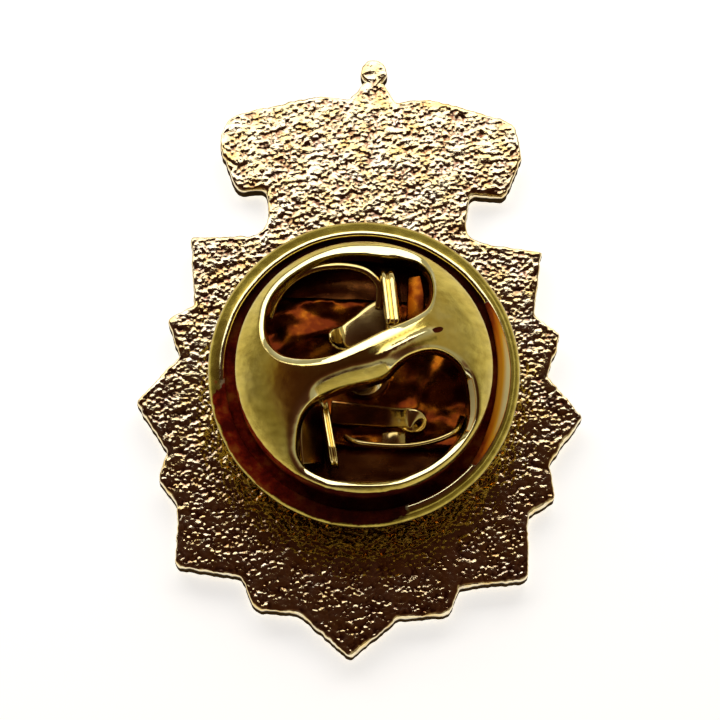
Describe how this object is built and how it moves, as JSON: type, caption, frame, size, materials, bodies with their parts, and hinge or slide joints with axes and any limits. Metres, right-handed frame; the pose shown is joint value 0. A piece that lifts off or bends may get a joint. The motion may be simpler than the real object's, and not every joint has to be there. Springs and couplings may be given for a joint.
{
  "type": "police lapel pin",
  "caption": "Struck badge pin in the outline of a crown over a rayed star, with a soldered post and a domed spring clutch.",
  "frame": {"origin": "under the middle of the outline, on the plane that the front's border rests on", "axes": "+Z out of the back along the post, +Y to the crown's knob, +X to the right as seen from the back"},
  "size_m": [0.0166, 0.0228, 0.0077],
  "materials": {
    "struck_plate": "polished gold plate, pebbled on the back",
    "clutch_sheet": "gold-washed pressed sheet, satin outside and bright on its rolled edges",
    "spring_strip": "bright gold-washed spring strip"
  },
  "bodies": {
    "badge": {"badge_plate": "struck_plate"},
    "clutch": {"clutch_base": "clutch_sheet", "clutch_cap": "clutch_sheet", "clutch_spring": "spring_strip"}
  },
  "joints": [
    {"name": "clutch_slide", "type": "slide", "parent": "badge", "child": "clutch", "axis": [0, 0, 1], "range_m": [0, 0.008]}
  ]
}
